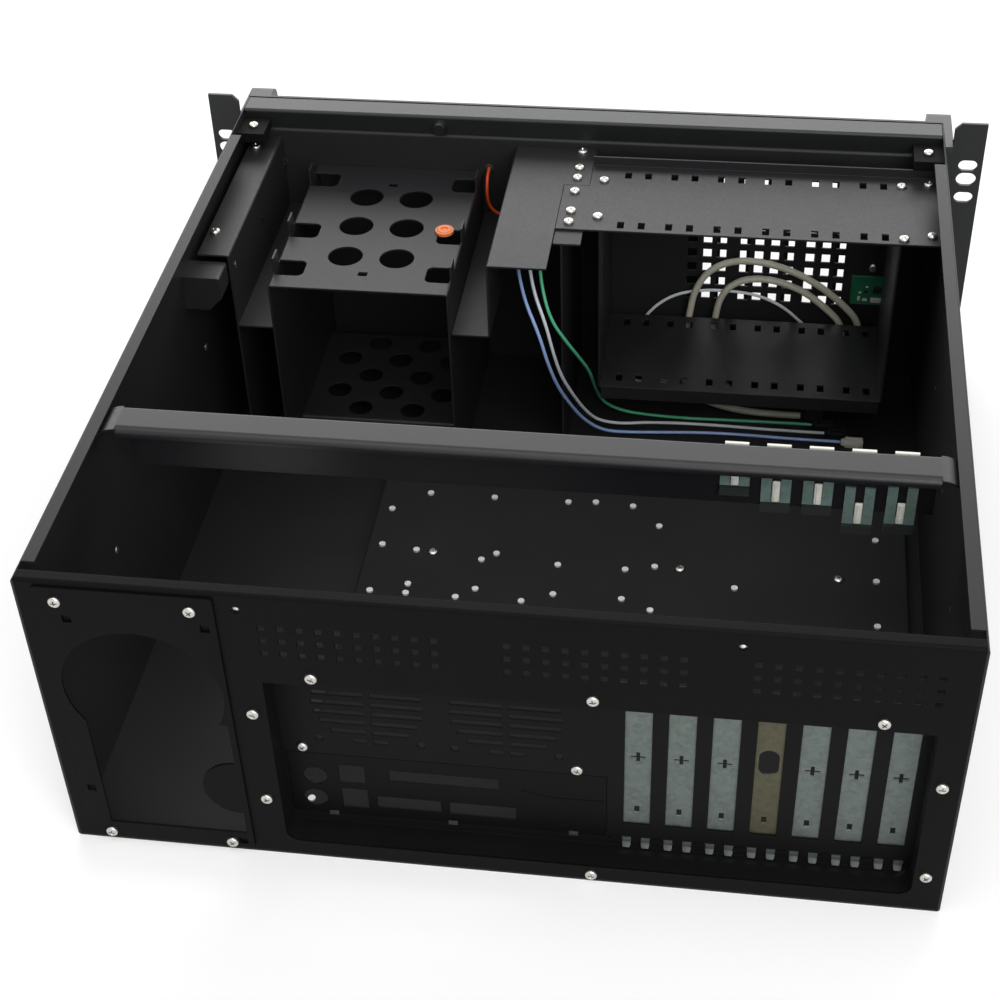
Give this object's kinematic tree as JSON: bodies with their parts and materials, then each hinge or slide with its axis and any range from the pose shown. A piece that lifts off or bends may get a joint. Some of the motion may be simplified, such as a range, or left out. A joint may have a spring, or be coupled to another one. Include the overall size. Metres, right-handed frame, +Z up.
{
  "type": "rackmount server case",
  "caption": "Empty 4U rackmount server case without its top cover: folded steel tray with rack ears, drive cages, rails, cross bar with card retainers, hinged front door and leads.",
  "frame": {"origin": "centre of the underside of the chassis tray's base", "axes": "+Z up, -Y towards the front with the rack ears and door, +Y towards the rear panel, +X towards the power supply side"},
  "size_m": [0.4826, 0.4931, 0.177],
  "materials": {
    "black_powder_coat": "satin powder coat",
    "zinc_sheet": "zinc-plated sheet",
    "olive_zinc_sheet": "yellow-passivated zinc-plated sheet",
    "black_rubber": "matte",
    "white_nylon": "moulded nylon",
    "nickel_screw": "nickel plated",
    "nickel_lock": "nickel plated",
    "black_plastic": "moulded",
    "black_shield": "painted thin sheet",
    "green_board": "solder mask",
    "grey_lead": "PVC sheath",
    "white_lead": "PVC insulation",
    "blue_lead": "PVC insulation",
    "green_lead": "PVC insulation",
    "orange_lead": "PVC insulation"
  },
  "bodies": {
    "case": {"bay_cage": "black_powder_coat", "bay_top_plate": "black_powder_coat", "cage_screws": "nickel_screw", "chassis_tray": "black_powder_coat", "corner_blocks": "black_plastic", "cross_bar": "black_powder_coat", "divider_wall": "black_powder_coat", "drive_rail_left": "black_powder_coat", "drive_rail_right": "black_powder_coat", "front_bar": "black_powder_coat", "front_frame": "black_powder_coat", "front_wall": "black_powder_coat", "handle_left": "black_plastic", "handle_right": "black_plastic", "hdd_cage": "black_powder_coat", "io_shield": "black_shield", "lead_blue": "blue_lead", "lead_connectors": "black_plastic", "lead_green": "green_lead", "lead_orange": "orange_lead", "lead_panel": "white_lead", "lead_white": "white_lead", "motherboard_tray": "black_powder_coat", "psu_plate": "black_powder_coat", "rear_panel": "black_powder_coat", "rear_screws": "nickel_screw", "recess_panel": "black_powder_coat", "retainer_guides": "white_nylon", "slot_cover_1": "zinc_sheet", "slot_cover_2": "zinc_sheet", "slot_cover_3": "zinc_sheet", "slot_cover_4": "olive_zinc_sheet", "slot_cover_5": "zinc_sheet", "slot_cover_6": "zinc_sheet", "slot_cover_7": "zinc_sheet", "slot_screws": "nickel_screw", "tray_studs": "nickel_screw", "usb_board": "green_board", "usb_lead_1": "grey_lead", "usb_lead_2": "grey_lead", "wall_box": "black_plastic"},
    "retainer_1": {"card_retainer_1": "zinc_sheet", "retainer_foot_1": "black_rubber", "retainer_slider_1": "white_nylon"},
    "retainer_2": {"card_retainer_2": "zinc_sheet", "retainer_foot_2": "black_rubber", "retainer_slider_2": "white_nylon"},
    "retainer_3": {"card_retainer_3": "zinc_sheet", "retainer_foot_3": "black_rubber", "retainer_slider_3": "white_nylon"},
    "retainer_4": {"card_retainer_4": "zinc_sheet", "retainer_foot_4": "black_rubber", "retainer_slider_4": "white_nylon"},
    "retainer_5": {"card_retainer_5": "zinc_sheet", "retainer_foot_5": "black_rubber", "retainer_slider_5": "white_nylon"},
    "door": {"front_door": "black_powder_coat"},
    "lock": {"door_lock": "nickel_lock"},
    "power": {"power_button": "black_plastic"},
    "reset": {"reset_button": "black_plastic"}
  },
  "joints": [
    {"name": "retainer_slide_1", "type": "slide", "parent": "case", "child": "retainer_1", "axis": [0, 0, 1], "range_m": [-0.028, 0]},
    {"name": "retainer_slide_2", "type": "slide", "parent": "case", "child": "retainer_2", "axis": [0, 0, 1], "range_m": [-0.019, 0.009]},
    {"name": "retainer_slide_3", "type": "slide", "parent": "case", "child": "retainer_3", "axis": [0, 0, 1], "range_m": [-0.019, 0.009]},
    {"name": "retainer_slide_4", "type": "slide", "parent": "case", "child": "retainer_4", "axis": [0, 0, 1], "range_m": [-0.0085, 0.0195]},
    {"name": "retainer_slide_5", "type": "slide", "parent": "case", "child": "retainer_5", "axis": [0, 0, 1], "range_m": [-0.0101, 0.0179]},
    {"name": "door_hinge", "type": "hinge", "parent": "case", "child": "door", "pos_m": [-0.184, -0.221, 0.0886], "axis": [0, 0, -1], "range_deg": [0, 95]},
    {"name": "lock_turn", "type": "hinge", "parent": "door", "child": "lock", "pos_m": [0.172, -0.225, 0.0885], "axis": [0, -1, 0], "range_deg": [0, 90]},
    {"name": "power_press", "type": "slide", "parent": "case", "child": "power", "axis": [0, 1, 0], "range_m": [0, 0.0015], "stiffness_N_per_m": 300, "springref_m": -0.001},
    {"name": "reset_press", "type": "slide", "parent": "case", "child": "reset", "axis": [0, 1, 0], "range_m": [0, 0.0015], "stiffness_N_per_m": 300, "springref_m": -0.001}
  ]
}
